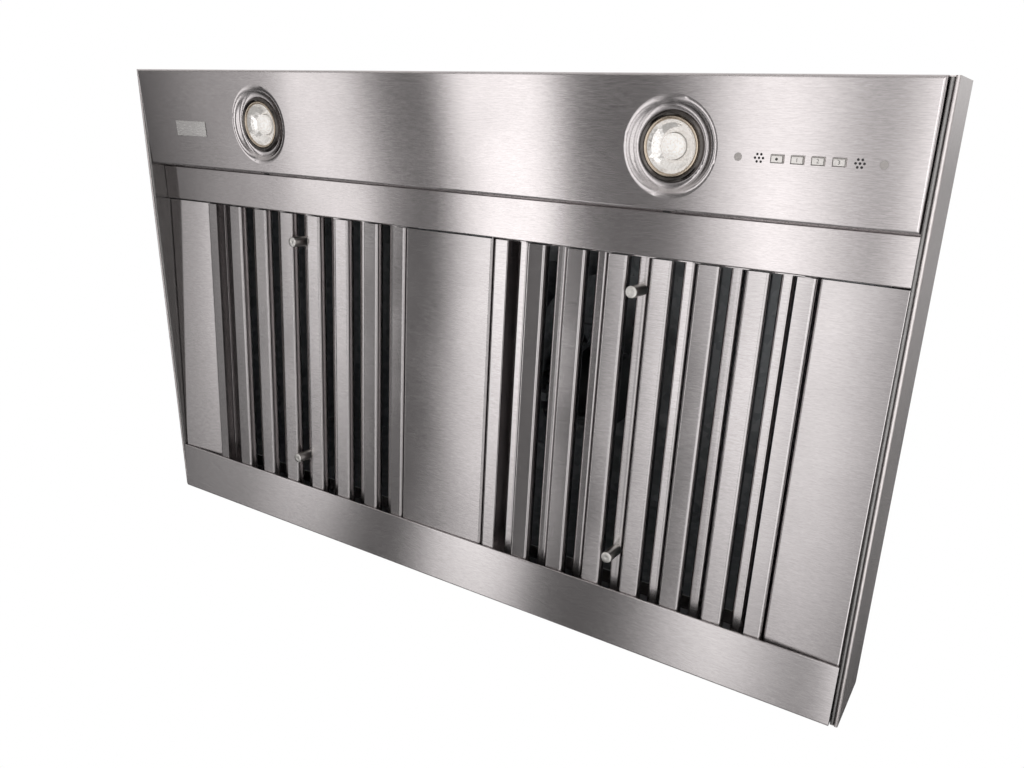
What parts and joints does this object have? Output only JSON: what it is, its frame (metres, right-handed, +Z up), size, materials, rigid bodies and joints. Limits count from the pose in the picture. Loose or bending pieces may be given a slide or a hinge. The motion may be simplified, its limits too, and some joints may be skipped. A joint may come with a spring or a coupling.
{
  "type": "range hood insert",
  "caption": "Built-in range hood insert: brushed steel underside with baffle filters, lamps and push buttons, and a blower housing with a duct collar on top.",
  "frame": {"origin": "centre of the four ledge screws, on the top face of the ledge that seats against the cabinet", "axes": "+X to the right for someone at the hob, along the width; +Y to the rear; +Z up, so the filters face -Z and the duct leaves along +Z"},
  "size_m": [0.914, 0.551, 0.3435],
  "materials": {
    "brushed_steel": "brushed along the width, satin",
    "filter_steel": "brushed along the depth, satin",
    "turned_steel": "turned, fine rings",
    "button_steel": "satin with bright bevelled edges",
    "badge_metal": "satin",
    "bezel_chrome": "polished",
    "lamp_glass": "frosted, faceted",
    "lamp_reflector": "coated reflector",
    "white_ceramic": "glazed",
    "black_plastic": "moulded",
    "circuit_board": "coated",
    "clear_plastic": "translucent, smooth",
    "dark_clip": "blackened spring steel",
    "galvanised_sheet": "zinc coated sheet",
    "zinc_screw": "zinc plated",
    "motor_paint": "black, semi-gloss"
  },
  "bodies": {
    "housing": {"front_control_panel": "brushed_steel", "mid_band": "brushed_steel", "rear_band": "brushed_steel", "wiring_cover": "galvanised_sheet", "centre_panel": "brushed_steel", "left_skirt": "brushed_steel", "right_skirt": "brushed_steel", "left_end_wall": "brushed_steel", "right_end_wall": "brushed_steel", "left_filler": "brushed_steel", "right_filler": "brushed_steel", "lamp_sockets": "white_ceramic", "lamp_brackets": "galvanised_sheet", "control_housing": "black_plastic", "control_board": "circuit_board", "sensor_capsules": "black_plastic", "indicator_windows": "clear_plastic", "badge_plate": "badge_metal", "seam_tabs": "dark_clip", "plenum_front": "galvanised_sheet", "plenum_rear": "galvanised_sheet", "plenum_left": "galvanised_sheet", "plenum_right": "galvanised_sheet", "plenum_top": "galvanised_sheet", "junction_box": "galvanised_sheet", "junction_cover": "galvanised_sheet", "housing_screws": "zinc_screw", "duct_collar": "galvanised_sheet", "collar_flange": "galvanised_sheet", "damper_rod": "zinc_screw", "blower_scroll": "galvanised_sheet", "blower_side_plates": "galvanised_sheet", "motor": "motor_paint", "motor_bracket": "galvanised_sheet", "left_lamp_bezel": "bezel_chrome", "left_lamp_lens": "lamp_glass", "left_lamp_body": "lamp_reflector", "right_lamp_bezel": "bezel_chrome", "right_lamp_lens": "lamp_glass", "right_lamp_body": "lamp_reflector"},
    "left_filter": {"left_filter_rails": "filter_steel", "left_filter_end_plates": "filter_steel", "left_filter_front_baffles": "filter_steel", "left_filter_rear_baffles": "filter_steel", "left_filter_knobs": "turned_steel", "left_filter_screws": "zinc_screw"},
    "right_filter": {"right_filter_rails": "filter_steel", "right_filter_end_plates": "filter_steel", "right_filter_front_baffles": "filter_steel", "right_filter_rear_baffles": "filter_steel", "right_filter_knobs": "turned_steel", "right_filter_screws": "zinc_screw"},
    "button_light": {"button_light": "button_steel"},
    "button_speed_1": {"button_speed_1": "button_steel"},
    "button_speed_2": {"button_speed_2": "button_steel"},
    "button_speed_3": {"button_speed_3": "button_steel"},
    "rear_flap": {"damper_flap_rear": "galvanised_sheet"},
    "front_flap": {"damper_flap_front": "galvanised_sheet"},
    "blower": {"blower_wheel": "galvanised_sheet", "motor_shaft": "zinc_screw"}
  },
  "joints": [
    {"name": "left_filter_tilt", "type": "hinge", "parent": "housing", "child": "left_filter", "pos_m": [-0.217, 0.2135, -0.0783], "axis": [1, 0, 0], "range_deg": [0, 62]},
    {"name": "right_filter_tilt", "type": "hinge", "parent": "housing", "child": "right_filter", "pos_m": [0.217, 0.2135, -0.0783], "axis": [1, 0, 0], "range_deg": [0, 62]},
    {"name": "button_light_press", "type": "slide", "parent": "housing", "child": "button_light", "axis": [0, -0.0559, 0.9984], "range_m": [0, 0.0015], "stiffness_N_per_m": 500, "springref_m": -0.0015},
    {"name": "button_speed_1_press", "type": "slide", "parent": "housing", "child": "button_speed_1", "axis": [0, -0.0559, 0.9984], "range_m": [0, 0.0015], "stiffness_N_per_m": 500, "springref_m": -0.0015},
    {"name": "button_speed_2_press", "type": "slide", "parent": "housing", "child": "button_speed_2", "axis": [0, -0.0559, 0.9984], "range_m": [0, 0.0015], "stiffness_N_per_m": 500, "springref_m": -0.0015},
    {"name": "button_speed_3_press", "type": "slide", "parent": "housing", "child": "button_speed_3", "axis": [0, -0.0559, 0.9984], "range_m": [0, 0.0015], "stiffness_N_per_m": 500, "springref_m": -0.0015},
    {"name": "rear_flap_swing", "type": "hinge", "parent": "housing", "child": "rear_flap", "pos_m": [0, 0, 0.216], "axis": [1, 0, 0], "range_deg": [0, 78]},
    {"name": "front_flap_swing", "type": "hinge", "parent": "housing", "child": "front_flap", "pos_m": [0, 0, 0.216], "axis": [-1, 0, 0], "range_deg": [0, 78]},
    {"name": "blower_spin", "type": "hinge", "parent": "housing", "child": "blower", "pos_m": [0, 0.0585, 0.088], "axis": [1, 0, 0], "continuous": true}
  ]
}
